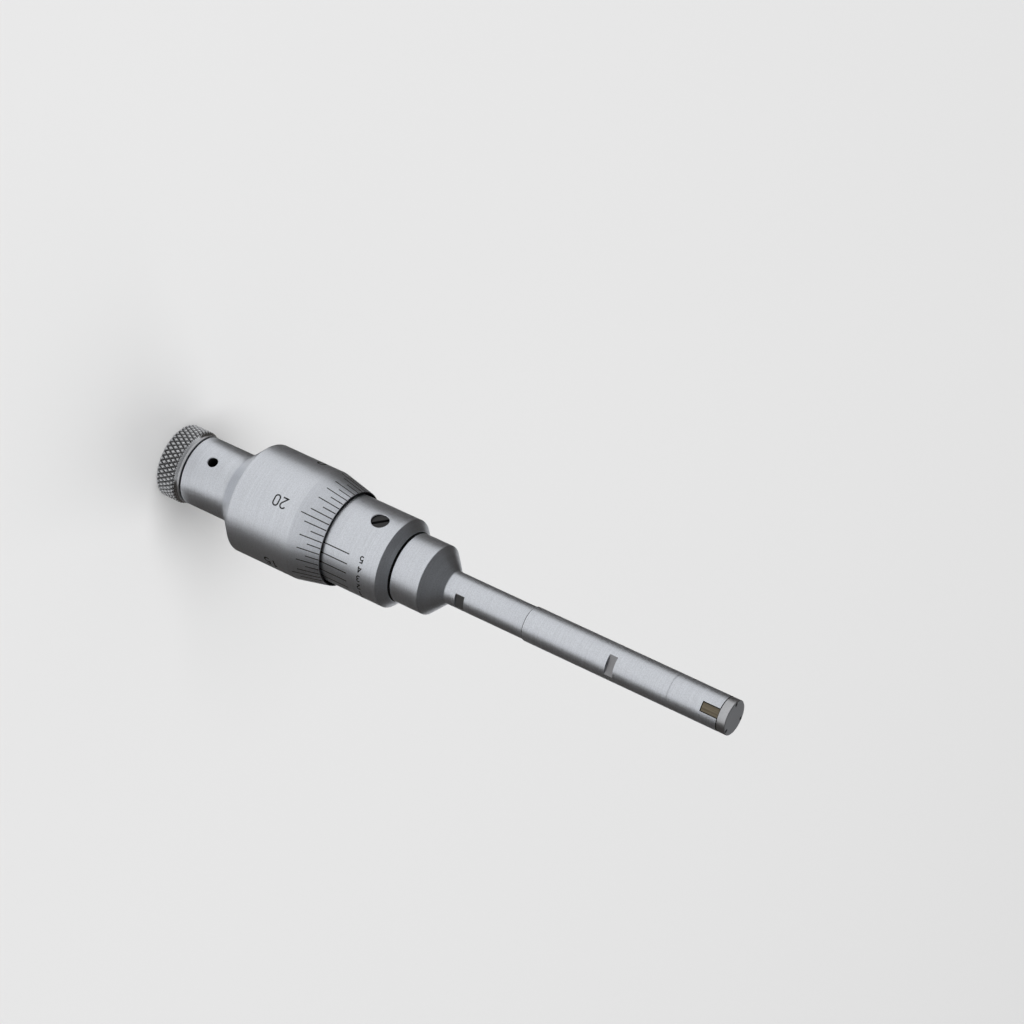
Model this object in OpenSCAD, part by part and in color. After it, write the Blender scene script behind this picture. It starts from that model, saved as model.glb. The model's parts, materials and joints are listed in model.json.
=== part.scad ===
// Three-point inside micrometer: knob and thimble at the rear, vernier sleeve, stem and measuring head.
// Stations run along the spindle axis from the joint between knob and thimble towards the head.
// Angles round the axis are measured from the left, positive towards the back.
// It stands on the flat end of its knob, because it rolls when it lies.

/* [Knob] */
// Outside diameter over the knurl
knob_d = 16.4; // [15.8:0.1:18]
// Length from the joint with the thimble to the end face
knob_len = 6; // [5.5:0.1:8]
// Diameter of the smooth ring beside the thimble
knob_ring_d = 15.4; // [14.8:0.1:15.8]
// Width of the smooth ring beside the thimble
knob_ring_w = 0.5; // [0.4:0.1:0.8]
// Length of the taper between the ring and the knurl
knob_taper = 0.9; // [0.6:0.1:1.2]
// Chamfer round the end face
knob_chamfer = 0.45; // [0.3:0.05:0.6]
// Diamonds of the knurl round the knob
knurl_count = 46; // [40:1:60]
// Diamonds of the knurl along the knob
knurl_rows = 4; // [3:1:5]
// Depth of the knurl
knurl_depth = 0.35; // [0.2:0.05:0.5]
// Diameter of the cavity that holds the slipping clutch
clutch_d = 10.6; // [9:0.1:11.5]
// Thickness of the friction disc
clutch_disc_t = 1.2; // [0.8:0.1:1.6]
// Bore of the friction disc
clutch_bore_d = 4.4; // [4:0.1:5]
// Wire diameter of the clutch spring
clutch_wire = 0.5; // [0.4:0.05:0.6]
// Turns of the clutch spring
clutch_turns = 3; // [2:1:4]
// Diameter of the knob screw's shank
shank_d = 3; // [2.6:0.1:3.4]
// Length of the knob screw
shank_len = 9; // [8:0.1:11]
// Diameter of the knob screw's head
screw_head_d = 6.4; // [5.5:0.1:7]
// Height of the knob screw's head
screw_head_h = 1.2; // [1:0.1:1.4]

/* [Thimble] */
// Diameter of the narrow neck
neck_d = 15.2; // [14.6:0.1:16]
// Station where the neck's root fillet starts
neck_end = 10.9; // [10:0.1:11.5]
// Radius of the fillet between neck and shoulder
root_fillet = 1; // [0.6:0.1:1.6]
// Radius of the rounding between shoulder and drum
shoulder_round = 0.4; // [0.2:0.1:1.6]
// Slope of the shoulder from the axis
shoulder_angle = 45; // [40:1:50]
// Diameter of the drum
drum_d = 24.4; // [23:0.1:26]
// Station where the bevel starts
drum_end = 31.4; // [29:0.1:33]
// Station of the thimble's front edge
bevel_end = 38.8; // [37:0.1:40]
// Thickness of the bevel's lip at the front edge
lip_t = 0.3; // [0.2:0.05:0.5]
// Length of the wider mouth behind the front edge
mouth_len = 3; // [2:0.1:4]
// Bore that clamps the spindle's tail
tail_d = 8; // [7:0.1:9]
// Depth from the rear end to the floor of the wide bore
thimble_floor = 15; // [14.4:0.1:15.4]
// Diameter of the spanner hole in the neck
spanner_hole_d = 2.2; // [1.8:0.1:2.6]
// Depth of the spanner hole
spanner_hole_depth = 2; // [1.5:0.1:3]
// Station of the spanner hole
spanner_hole_x = 5.5; // [4:0.1:8]
// Angle of the spanner hole round the axis
spanner_hole_angle = -23; // [-90:1:90]

/* [Sleeve] */
// Outside diameter of the sleeve
sleeve_d = 19.7; // [19:0.1:21]
// Bore of the sleeve
sleeve_bore_d = 13; // [12:0.1:14]
// Station of the sleeve's rear end
sleeve_start = 19; // [18.6:0.1:20]
// Station where the front chamfer starts
sleeve_chamfer_start = 52.4; // [51:0.1:52.8]
// Station of the sleeve's front end
sleeve_end = 54.2; // [53.6:0.1:55]
// Diameter of the sleeve's front face
sleeve_face_d = 15.8; // [15.4:0.1:17]
// Diameter of the set screw
set_screw_d = 3.8; // [3:0.1:4.2]
// Depth of the set screw's top below the sleeve's surface
set_screw_sink = 0.4; // [0.2:0.05:0.8]
// Station of the set screw
set_screw_x = 47.5; // [46:0.1:49]
// Angle of the set screw round the axis
set_screw_angle = -4; // [-30:1:30]
// Angle of the set screw's slot from the axis
set_screw_turn = 45; // [0:5:90]
// Width of the screwdriver slots
slot_w = 0.7; // [0.4:0.05:0.9]

/* [Spindle] */
// Thread diameter of the spindle
spindle_d = 6; // [5.5:0.1:6.5]
// Length of the spindle's thread beyond the split nut
thread_past = 2; // [1:0.1:3]
// Length of the thread's runout
thread_runout = 1; // [0.5:0.1:1.5]
// Station of the spindle's front end
spindle_end = 57; // [56.4:0.1:58]
// Diameter of the spindle's plain front end
spindle_tip_d = 4; // [3.5:0.1:4.4]
// Station of the rear end of the split nut
nut_start = 21.5; // [21:0.1:23]
// Station where the split nut meets the stem's tail
nut_end = 40; // [38:0.1:42]
// Diameter of the split nut's slotted rear end
nut_tail_d = 9.4; // [9:0.1:10]
// Length of the split nut's slotted rear end
nut_tail_len = 6; // [5:0.1:7]
// Slots in the split nut's rear end
nut_slots = 3; // [2:1:4]
// Slots across the adjusting ring nut
adjuster_slots = 2; // [1:1:3]
// Length of the adjusting ring nut
adjuster_len = 4.5; // [3.5:0.1:4.8]

/* [Stem] */
// Diameter of the collar
collar_d = 15.4; // [15:0.1:16]
// Width of the groove between sleeve and collar
collar_gap = 0.5; // [0.3:0.05:0.8]
// Depth of the groove between sleeve and collar
collar_groove = 0.6; // [0.4:0.05:0.9]
// Station where the collar's cone starts
collar_end = 61.4; // [60.5:0.1:62.5]
// Station where the cone meets the stem
stem_start = 65.3; // [64.5:0.1:66.5]
// Diameter of the stem
stem_d = 7.2; // [7:0.1:7.4]
// Station of the joint between stem and head
head_start = 84.6; // [83:0.1:86]
// Diameter of the stem's spigot in the head
spigot_d = 5.4; // [5:0.1:5.8]
// Length of the stem's spigot in the head
spigot_len = 5; // [4:0.1:6]
// Station where the stem's spanner flats start
stem_flat_x = 68; // [67:0.1:69]
// Length of the stem's spanner flats
stem_flat_len = 2.2; // [1.8:0.1:3]
// Width across the stem's spanner flats
stem_flat_af = 6.4; // [6:0.1:6.8]
// Angle of the stem's spanner flats round the axis
stem_flat_angle = -84; // [-120:1:0]

/* [Push rod] */
// Diameter of the push rod
rod_d = 3; // [2.6:0.1:3.2]
// Diameter of the rod's rear collar
rod_collar_d = 4.8; // [4.4:0.1:5.2]
// Length of the rod's rear collar
rod_collar_len = 1.6; // [1.2:0.1:2]
// Diameter of the thrust ball
ball_d = 2.4; // [2:0.1:3]
// Wire diameter of the return spring
spring_wire = 0.5; // [0.4:0.05:0.6]
// Length of the return spring as fitted
spring_len = 9; // [8:0.1:10]
// Turns of the return spring
spring_turns = 6; // [5:1:7]
// Length of the guide bush at the front of the stem
bush_len = 4; // [3:0.1:5]
// Wall of the guide bush
bush_wall = 0.5; // [0.4:0.05:0.6]

/* [Measuring head] */
// Diameter of the head
head_d = 7.6; // [7.4:0.1:8]
// Station of the line between head and end cap
head_end = 130.9; // [130:0.1:132]
// Thickness of the end cap
cap_t = 1.9; // [1.6:0.1:3]
// Chamfer round the end face
tip_chamfer = 0.12; // [0.06:0.02:0.16]
// Bore that the cone runs in
head_bore_d = 5.3; // [5.2:0.1:5.6]
// Length of the cone's bore behind the end cap
head_bore_len = 12; // [11:0.1:14]
// Station where the head's spanner flats start
head_flat_x = 104.6; // [102:0.1:107]
// Length of the head's spanner flats
head_flat_len = 1.9; // [1.6:0.1:3]
// Width across the head's spanner flats
head_flat_af = 6.2; // [5.9:0.1:6.6]
// Angle of the head's spanner flats round the axis
head_flat_angle = -60; // [-120:1:0]
// Length of an anvil along the axis
anvil_len = 3.8; // [3.4:0.1:4]
// Width of an anvil
anvil_w = 1.8; // [1.6:0.05:2]
// Angle of the first anvil round the axis
anvil_angle = -51; // [-90:1:0]
// Radius of the anvil tips at rest
anvil_tip_r = 3.8; // [3.7:0.05:3.8]
// Travel of an anvil from rest to its limit
anvil_travel = 1.2; // [0.8:0.1:1.2]
// Slope of the cone, radius over length
cone_slope = 0.5; // [0.45:0.05:0.5]
// Radius of the cone under the middle of the anvils at rest
cone_mid_r = 1.1; // [1.05:0.05:1.2]
// Radius of the cone's blunt tip
cone_tip_r = 0.7; // [0.65:0.05:0.8]
// Length of the cone's plain part
cone_barrel_len = 4; // [3:0.1:4.5]
// Diameter of the end cap's screws
cap_screw_d = 0.6; // [0.5:0.05:0.7]
// Diameter of the end cap's screw heads
cap_head_d = 0.85; // [0.8:0.05:0.9]
// Height of the end cap's screw heads
cap_head_h = 0.5; // [0.4:0.05:0.6]
// Depth of the screw heads below the end face
cap_head_sink = 0.12; // [0.05:0.01:0.2]
// Width of the slots in the screw heads
cap_slot_w = 0.18; // [0.1:0.02:0.25]
// Depth of the slots in the screw heads
cap_slot_depth = 0.14; // [0.1:0.02:0.2]
// Length of the end cap's screws below their heads
cap_screw_len = 3; // [2.5:0.1:4]
// Thickness of the anvils' leaf springs
leaf_t = 0.15; // [0.1:0.05:0.2]
// Width of the anvils' leaf springs
leaf_w = 0.8; // [0.6:0.05:1]
// Depth of the leaf springs' grooves in the cone's bore
leaf_groove = 0.3; // [0.25:0.05:0.4]
// Length of a leaf spring's tip in its anvil
leaf_tip = 0.6; // [0.4:0.1:0.8]

/* [Fits] */
// Radial clearance of pieces that turn or slide in each other
run_gap = 0.05; // [0.02:0.01:0.08]
// Clearance of pieces that pass each other freely
free_gap = 0.2; // [0.1:0.02:0.3]
// Radial clearance between thimble and sleeve
thimble_gap = 0.1; // [0.05:0.01:0.15]
// Radial gap round the sleeve in the thimble's mouth
mouth_gap = 0.45; // [0.3:0.05:0.6]
// Radial clearance of pieces that are fixed in each other
fix_gap = 0.02; // [0.01:0.01:0.03]
// Width of the open joint between knob and thimble
knob_gap = 0.35; // [0.25:0.05:0.5]
// Clearance between an anvil and the cone
cone_gap = 0.04; // [0.02:0.01:0.06]

/* [Hidden] */
$fn = 96;
anvil_count = 3;
anvil_step = 360 / anvil_count;
eps = 0.01;
over = 1;
fillet_steps = 6;
coil_sides = 8;
coil_steps = 20;
steel = [0.78, 0.79, 0.82];
dark_steel = [0.2, 0.2, 0.21];
bronze = [0.55, 0.5, 0.38];
spring_steel = [0.6, 0.61, 0.64];

tip_end = head_end + cap_t;
rim_x = tip_end - tip_chamfer;
// Cone travel that carries the anvils from rest to their limit
cone_travel = anvil_travel / cone_slope;
anvil_end = head_end - 2 * run_gap;
anvil_mid = anvil_end - anvil_len / 2;
cone_r = head_bore_d / 2 - 2 * run_gap;
cone_start = anvil_mid - (cone_r - cone_mid_r) / cone_slope;
cone_tip_x = anvil_mid + (cone_mid_r - cone_tip_r) / cone_slope;
cone_rear = cone_start - cone_barrel_len;
cap_recess_x = cone_tip_x + cone_travel + free_gap;
cap_recess_r = cone_tip_r + cone_slope * (cap_recess_x - head_end) + free_gap;
bore_start = head_end - head_bore_len;
cap_screw_r = (head_bore_d + head_d) / 4 - fix_gap;
foot_r = anvil_w / 2 / tan(anvil_step / 2) + free_gap;
leaf_r = head_bore_d / 2 + leaf_groove;
leaf_start = bore_start + leaf_tip;

ball_x = spindle_end + ball_d / 2;
rod_start = spindle_end + ball_d;
rod_bore_d = rod_d + 2 * run_gap;
spring_r = (rod_collar_d - spring_wire) / 2;
spring_start = rod_start + rod_collar_len;
spring_seat = spring_start + spring_len;
stem_bore_d = rod_collar_d + 2 * run_gap + spring_wire;
collar_start = sleeve_end + collar_gap;
stem_tail_d = sleeve_bore_d - 2 * fix_gap;
bush_start = head_start + spigot_len - bush_len;

knob_floor_x = -knob_len + screw_head_h + clutch_disc_t;

// Stands the micrometer, built along +X, on the end of its knob.
module stand() {
    translate([0, 0, knob_len]) rotate([0, -90, 0]) children();
}

// Turned solid: outline points are [radius, station].
module turned(outline) {
    rotate([0, 90, 0]) rotate_extrude() polygon(outline);
}

// Plain rod or hole along the axis.
module rod(d, from, to) {
    translate([from, 0, 0]) rotate([0, 90, 0]) cylinder(d = d, h = to - from);
}

// Turns children, built pointing up, to an angle round the axis at a station.
module around(angle, station) {
    rotate([-angle, 0, 0]) translate([station, 0, 0]) children();
}

// Metal to cut away from a round bar to leave two spanner flats.
module spanner_flats(angle, from, len, across, d) {
    for (turn = [0, 180])
        around(angle + turn, from)
            translate([0, -d, across / 2]) cube([len, 2 * d, d]);
}

// Points of a fillet from a line along the axis to a slope, as [radius, station]; sign 1 is concave, -1 convex.
function fillet(r, x, radius, slope, sign) = [
    for (t = [0 : slope / fillet_steps : slope + eps]) [r + sign * radius * (1 - cos(t)), x + sign * radius * sin(t)]
];

// A list back to front
function reversed(list) = [for (i = [len(list) - 1 : -1 : 0]) list[i]];

// Point on a circle round the axis
function ring_point(r, x, a) = [x, r * sin(a), r * cos(a)];

// Coil spring along the axis: a round wire swept along a helix, with closed flat ends.
module coil(r, wire, from, to, turns) {
    sides = coil_sides;
    count = turns * coil_steps;
    lead = to - from - wire;
    points = [
        for (i = [0 : count], k = [0 : sides - 1])
            ring_point(
                r + wire / 2 * cos(k * 360 / sides),
                from + wire / 2 + lead * i / count + wire / 2 * sin(k * 360 / sides),
                i * 360 / coil_steps
            )
    ];
    walls = [
        for (i = [0 : count - 1], k = [0 : sides - 1])
            let (a = i * sides, b = a + sides, n = (k + 1) % sides)
            [a + k, a + n, b + n, b + k]
    ];
    rear = [[for (k = [sides - 1 : -1 : 0]) k]];
    front = [[for (k = [0 : sides - 1]) count * sides + k]];
    polyhedron(points, concat(walls, rear, front));
}

// Knurled turning: rings of [radius, station], the rows between knurl_from and knurl_to raised to diamonds.
module knurled_turning(before, after, r, depth, from, to, rows, count) {
    columns = 2 * count;
    steps = 2 * rows;
    band = [for (n = [0 : steps]) [r, from + (to - from) * n / steps]];
    rings = concat(before, band, after);
    first = len(before);
    last = first + steps;
    total = len(rings);
    points = [
        for (n = [0 : total - 1], m = [0 : columns - 1])
            let (valley = n >= first && n <= last && (m + n) % 2 == 0)
            ring_point(rings[n][0] - (valley ? depth : 0), rings[n][1], m * 360 / columns)
    ];
    faces = [
        for (n = [0 : total - 1], m = [0 : columns - 1])
            let (
                a = n * columns + m,
                b = n * columns + (m + 1) % columns,
                c = (n + 1) % total * columns + (m + 1) % columns,
                d = (n + 1) % total * columns + m
            )
            each (m + n) % 2 == 0 ? [[a, b, c], [a, c, d]] : [[a, b, d], [b, c, d]]
    ];
    polyhedron(points, faces);
}

// Short knurled knob: a cup that holds the clutch, with a recess for its screw at the end face.
module knob() {
    bore_r = shank_d / 2 + run_gap;
    ring_end = -knob_gap - knob_ring_w;
    color(steel) stand() knurled_turning(
        [
            [bore_r, knob_floor_x],
            [clutch_d / 2, knob_floor_x],
            [clutch_d / 2, -knob_gap],
            [knob_ring_d / 2, -knob_gap],
            [knob_ring_d / 2, ring_end],
        ],
        [
            [knob_d / 2 - knob_chamfer, -knob_len],
            [screw_head_d / 2 + run_gap, -knob_len],
            [screw_head_d / 2 + run_gap, -knob_len + screw_head_h],
            [bore_r, -knob_len + screw_head_h],
        ],
        knob_d / 2, knurl_depth, ring_end - knob_taper, -knob_len + knob_chamfer, knurl_rows, knurl_count
    );
}

// Screw that holds the knob on the spindle's tail.
module knob_screw() {
    top = -knob_len + run_gap;
    color(steel) stand() difference() {
        union() {
            rod(screw_head_d, top, -knob_len + screw_head_h - run_gap);
            rod(shank_d, top, top + shank_len);
        }
        translate([top - eps, -screw_head_d, -slot_w / 2]) cube([screw_head_h / 2, 2 * screw_head_d, slot_w]);
    }
}

// Friction disc that slips on the thimble's rear face.
module clutch_disc() {
    color(bronze) stand() difference() {
        rod(clutch_d - 2 * free_gap, -clutch_disc_t - run_gap, -run_gap);
        rod(clutch_bore_d, -2 * clutch_disc_t, clutch_disc_t);
    }
}

// Spring between the knob's floor and the friction disc.
module clutch_spring() {
    color(spring_steel) stand()
        coil(clutch_d / 2 - clutch_wire - free_gap, clutch_wire, knob_floor_x, -clutch_disc_t - run_gap, clutch_turns);
}

// Thimble: neck, shoulder, drum and bevel turned in one, open at the front over the sleeve.
module thimble() {
    bore_r = sleeve_d / 2 + thimble_gap;
    mouth_r = sleeve_d / 2 + mouth_gap;
    rise = (drum_d - neck_d) / 2 - (root_fillet + shoulder_round) * (1 - cos(shoulder_angle));
    drum_start = neck_end + (root_fillet + shoulder_round) * sin(shoulder_angle) + rise / tan(shoulder_angle);
    color(steel) stand() difference() {
        turned(concat(
            [[tail_d / 2, 0], [neck_d / 2, 0]],
            fillet(neck_d / 2, neck_end, root_fillet, shoulder_angle, 1),
            reversed(fillet(drum_d / 2, drum_start, shoulder_round, shoulder_angle, -1)),
            [
                [drum_d / 2, drum_end],
                [mouth_r + lip_t, bevel_end],
                [mouth_r, bevel_end],
                [mouth_r, bevel_end - mouth_len],
                [bore_r, bevel_end - mouth_len],
                [bore_r, thimble_floor],
                [tail_d / 2, thimble_floor],
            ]
        ));
        around(spanner_hole_angle, spanner_hole_x)
            translate([0, 0, neck_d / 2 - spanner_hole_depth]) cylinder(d = spanner_hole_d, h = neck_d);
    }
}

// Micrometer screw: tail clamped in the thimble, ground thread, plain front end that bears on the ball.
module spindle() {
    color(steel) stand() difference() {
        turned([
            [0, 0],
            [tail_d / 2 - fix_gap, 0],
            [tail_d / 2 - fix_gap, thimble_floor],
            [spindle_d / 2, thimble_floor],
            [spindle_d / 2, nut_end + thread_past],
            [spindle_tip_d / 2, nut_end + thread_past + thread_runout],
            [spindle_tip_d / 2, spindle_end],
            [0, spindle_end],
        ]);
        rod(shank_d + 2 * fix_gap, -eps, shank_len - knob_len + 2 * run_gap);
    }
}

// Sleeve with the vernier: a plain tube, chamfered in front, with the set screw's hole.
module sleeve() {
    color(steel) stand() difference() {
        turned([
            [sleeve_bore_d / 2, sleeve_start],
            [sleeve_d / 2, sleeve_start],
            [sleeve_d / 2, sleeve_chamfer_start],
            [sleeve_face_d / 2, sleeve_end],
            [sleeve_bore_d / 2, sleeve_end],
        ]);
        around(set_screw_angle, set_screw_x) cylinder(d = set_screw_d, h = sleeve_d);
    }
}

// Slotted set screw that clamps the sleeve on the stem's tail.
module set_screw() {
    top = sleeve_d / 2 - set_screw_sink;
    color(dark_steel) stand() around(set_screw_angle, set_screw_x) difference() {
        translate([0, 0, sleeve_bore_d / 2])
            cylinder(d = set_screw_d - 2 * fix_gap, h = top - sleeve_bore_d / 2);
        rotate([0, 0, set_screw_turn]) translate([-set_screw_d, -slot_w / 2, top - slot_w])
            cube([2 * set_screw_d, slot_w, set_screw_d]);
    }
}

// Split nut that the spindle turns in, slotted at its rear end for taking up wear.
module split_nut() {
    color(steel) stand() difference() {
        turned([
            [spindle_d / 2 + run_gap, nut_start],
            [nut_tail_d / 2, nut_start],
            [nut_tail_d / 2, nut_start + nut_tail_len],
            [stem_tail_d / 2, nut_start + nut_tail_len],
            [stem_tail_d / 2, nut_end],
            [spindle_d / 2 + run_gap, nut_end],
        ]);
        for (i = [0 : nut_slots - 1])
            rotate([i * 180 / nut_slots, 0, 0]) translate([nut_start - eps, -nut_tail_d, -slot_w / 2])
                cube([nut_tail_len, 2 * nut_tail_d, slot_w]);
    }
}

// Ring nut that closes the split nut on the spindle's thread.
module adjusting_nut() {
    outer = sleeve_bore_d - 2 * free_gap;
    color(steel) stand() difference() {
        rod(outer, nut_start, nut_start + adjuster_len);
        rod(nut_tail_d + 2 * fix_gap, nut_start - over, nut_start + adjuster_len + over);
        for (i = [0 : adjuster_slots - 1])
            rotate([i * 180 / adjuster_slots, 0, 0]) translate([nut_start - eps, -outer, -slot_w])
                cube([slot_w, 2 * outer, 2 * slot_w]);
    }
}

// Stem: tail in the sleeve, collar, cone, tube and the spigot that carries the head, turned in one.
module stem() {
    groove_r = sleeve_face_d / 2 - collar_groove;
    bush_r = rod_bore_d / 2 + bush_wall;
    color(steel) stand() difference() {
        turned([
            [stem_tail_d / 2, nut_end],
            [stem_tail_d / 2, sleeve_end],
            [groove_r, sleeve_end],
            [groove_r, collar_start],
            [collar_d / 2, collar_start],
            [collar_d / 2, collar_end],
            [stem_d / 2, stem_start],
            [stem_d / 2, head_start],
            [spigot_d / 2, head_start],
            [spigot_d / 2, head_start + spigot_len],
            [bush_r, head_start + spigot_len],
            [bush_r, bush_start],
            [rod_bore_d / 2, bush_start],
            [rod_bore_d / 2, spring_seat],
            [stem_bore_d / 2, spring_seat],
            [stem_bore_d / 2, nut_end + nut_tail_len],
            [spindle_d / 2 + free_gap, nut_end + nut_tail_len],
            [spindle_d / 2 + free_gap, nut_end],
        ]);
        spanner_flats(stem_flat_angle, stem_flat_x, stem_flat_len, stem_flat_af, stem_d);
    }
}

// Push rod that carries the spindle's travel to the cone.
module push_rod() {
    color(spring_steel) stand() turned([
        [0, rod_start],
        [rod_collar_d / 2, rod_start],
        [rod_collar_d / 2, rod_start + rod_collar_len],
        [rod_d / 2, rod_start + rod_collar_len],
        [rod_d / 2, cone_rear],
        [0, cone_rear],
    ]);
}

// Hardened ball between the spindle, which turns, and the rod, which only slides.
module thrust_ball() {
    color(steel) stand() translate([ball_x, 0, 0]) sphere(d = ball_d);
}

// Spring that keeps the rod and the ball against the spindle.
module return_spring() {
    color(spring_steel) stand() coil(spring_r, spring_wire, spring_start, spring_seat, spring_turns);
}

// Bronze bush that guides the rod at the front of the stem.
module guide_bush() {
    color(bronze) stand() difference() {
        rod(rod_bore_d + 2 * bush_wall - 2 * fix_gap, bush_start, bush_start + bush_len);
        rod(rod_bore_d, bush_start - over, bush_start + bush_len + over);
    }
}

// Window of one anvil, open at the head's end, with the groove of its leaf spring.
module anvil_window() {
    rear = anvil_end - anvil_len - run_gap;
    width = anvil_w + 2 * run_gap;
    groove_w = leaf_w + 2 * run_gap;
    translate([rear, -width / 2, 0]) cube([head_end - rear + over, width, head_d]);
    translate([leaf_start, -groove_w / 2, 0]) cube([rear - leaf_start + eps, groove_w, leaf_r]);
}

// Measuring head: tube with a socket for the stem, the cone's bore and a window for each anvil.
module head_body() {
    color(steel) stand() difference() {
        turned([
            [spigot_d / 2 + fix_gap, head_start],
            [head_d / 2, head_start],
            [head_d / 2, head_end],
            [head_bore_d / 2, head_end],
            [head_bore_d / 2, bore_start],
            [rod_bore_d / 2 + run_gap, bore_start],
            [rod_bore_d / 2 + run_gap, head_start + spigot_len],
            [spigot_d / 2 + fix_gap, head_start + spigot_len],
        ]);
        for (i = [0 : anvil_count - 1]) around(anvil_angle + i * anvil_step, 0) anvil_window();
        spanner_flats(head_flat_angle, head_flat_x, head_flat_len, head_flat_af, head_d);
        cap_screw_places() rod(cap_screw_d, head_end - cap_screw_len, head_end + over);
    }
}

// Ground cone that drives the anvils outwards.
module measuring_cone() {
    color(steel) stand() turned([
        [0, cone_rear],
        [cone_r, cone_rear],
        [cone_r, cone_start],
        [cone_tip_r, cone_tip_x],
        [0, cone_tip_x],
    ]);
}

// Anvil: guided block with a round measuring face and a foot that bears on the cone.
module anvil(index) {
    slant = cone_gap * sqrt(1 + cone_slope * cone_slope);
    rear = anvil_end - anvil_len;
    rear_r = cone_mid_r + cone_slope * anvil_len / 2 + slant;
    knee = anvil_mid + (cone_mid_r + slant - foot_r) / cone_slope;
    notch_w = leaf_w + free_gap;
    color(bronze) stand() around(anvil_angle + index * anvil_step, 0) difference() {
        intersection() {
            rotate([90, 0, 0]) translate([0, 0, -anvil_w / 2]) linear_extrude(anvil_w)
                polygon([[rear, rear_r], [knee, foot_r], [anvil_end, foot_r], [anvil_end, head_d], [rear, head_d]]);
            rod(2 * anvil_tip_r, rear - over, anvil_end + over);
        }
        translate([rear - eps, -notch_w / 2, leaf_r - leaf_t - run_gap])
            cube([leaf_tip + run_gap, notch_w, leaf_t + 2 * run_gap]);
    }
}

module anvil_1() { anvil(0); }
module anvil_2() { anvil(1); }
module anvil_3() { anvil(2); }

// Leaf spring in a groove of the cone's bore, its tip in the anvil that it draws back.
module anvil_spring(index) {
    length = anvil_end - anvil_len + leaf_tip - leaf_start - run_gap;
    color(spring_steel) stand() around(anvil_angle + index * anvil_step, 0)
        translate([leaf_start + run_gap, -leaf_w / 2, leaf_r - leaf_t]) cube([length, leaf_w, leaf_t]);
}

module anvil_spring_1() { anvil_spring(0); }
module anvil_spring_2() { anvil_spring(1); }
module anvil_spring_3() { anvil_spring(2); }

// Places a cap screw's axis midway between the anvils.
module cap_screw_places() {
    for (i = [0 : anvil_count - 1])
        around(anvil_angle + (i + 0.5) * anvil_step, 0) translate([0, 0, cap_screw_r]) children();
}

// End cap: a disc with a recess for the cone's tip and three counterbored screw holes.
module end_cap() {
    color(dark_steel) stand() difference() {
        turned([
            [0, cap_recess_x],
            [cap_recess_r, cap_recess_x],
            [cap_recess_r, head_end],
            [head_d / 2, head_end],
            [head_d / 2, rim_x],
            [head_d / 2 - tip_chamfer, tip_end],
            [0, tip_end],
        ]);
        cap_screw_places() {
            rod(cap_screw_d, head_end - over, tip_end + over);
            rod(cap_head_d, tip_end - cap_head_h, tip_end + over);
        }
    }
}

// Three small slotted screws that hold the end cap.
module cap_screws() {
    top = tip_end - cap_head_sink;
    color(dark_steel) stand() cap_screw_places() difference() {
        union() {
            rod(cap_head_d - 2 * fix_gap, tip_end - cap_head_h, top);
            rod(cap_screw_d - 2 * fix_gap, head_end - cap_screw_len + fix_gap, tip_end - cap_head_h);
        }
        translate([top - cap_slot_depth, -cap_head_d, -cap_slot_w / 2])
            cube([cap_head_h, 2 * cap_head_d, cap_slot_w]);
    }
}

knob();
knob_screw();
clutch_disc();
clutch_spring();
thimble();
spindle();
sleeve();
set_screw();
split_nut();
adjusting_nut();
stem();
push_rod();
thrust_ball();
return_spring();
guide_bush();
head_body();
measuring_cone();
anvil_1();
anvil_2();
anvil_3();
anvil_spring_1();
anvil_spring_2();
anvil_spring_3();
end_cap();
cap_screws();
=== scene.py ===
import json
import math

import bmesh
import bpy
import numpy as np
from mathutils import Matrix, Vector


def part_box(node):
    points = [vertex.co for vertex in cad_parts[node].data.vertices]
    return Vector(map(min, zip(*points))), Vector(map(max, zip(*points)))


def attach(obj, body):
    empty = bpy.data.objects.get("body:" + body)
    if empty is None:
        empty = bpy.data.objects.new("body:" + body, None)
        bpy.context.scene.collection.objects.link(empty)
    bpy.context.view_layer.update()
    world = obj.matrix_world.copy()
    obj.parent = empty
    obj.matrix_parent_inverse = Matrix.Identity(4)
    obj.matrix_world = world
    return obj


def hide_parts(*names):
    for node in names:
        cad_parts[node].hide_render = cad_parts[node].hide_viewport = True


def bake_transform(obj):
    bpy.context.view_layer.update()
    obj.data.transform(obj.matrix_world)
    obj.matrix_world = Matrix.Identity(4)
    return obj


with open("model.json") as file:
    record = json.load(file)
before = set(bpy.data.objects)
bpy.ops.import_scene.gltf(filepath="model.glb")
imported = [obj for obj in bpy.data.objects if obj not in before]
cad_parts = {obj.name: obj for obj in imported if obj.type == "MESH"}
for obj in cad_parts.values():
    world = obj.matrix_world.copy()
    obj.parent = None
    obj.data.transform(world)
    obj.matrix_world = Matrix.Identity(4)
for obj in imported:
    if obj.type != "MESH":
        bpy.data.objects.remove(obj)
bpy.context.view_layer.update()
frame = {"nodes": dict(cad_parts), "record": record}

# The micrometer stands on its knob, so its axis is the frame's Z axis.
# Stations run up the axis in mm from the joint between knob and thimble.
# Angles run round the axis in degrees from -X, positive towards +Y.
mm = 0.001
tiny = 1e-6
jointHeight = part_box("thimble")[0].z


def place(station, radius, angle):
    # A point at a radius and angle round the axis, at the height of its station.
    turn = np.radians(angle)
    station, radius, turn = np.broadcast_arrays(station, radius, turn)
    x = -radius * np.cos(turn) * mm
    y = radius * np.sin(turn) * mm
    return np.stack([x, y, station * mm + jointHeight], axis=-1)


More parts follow.
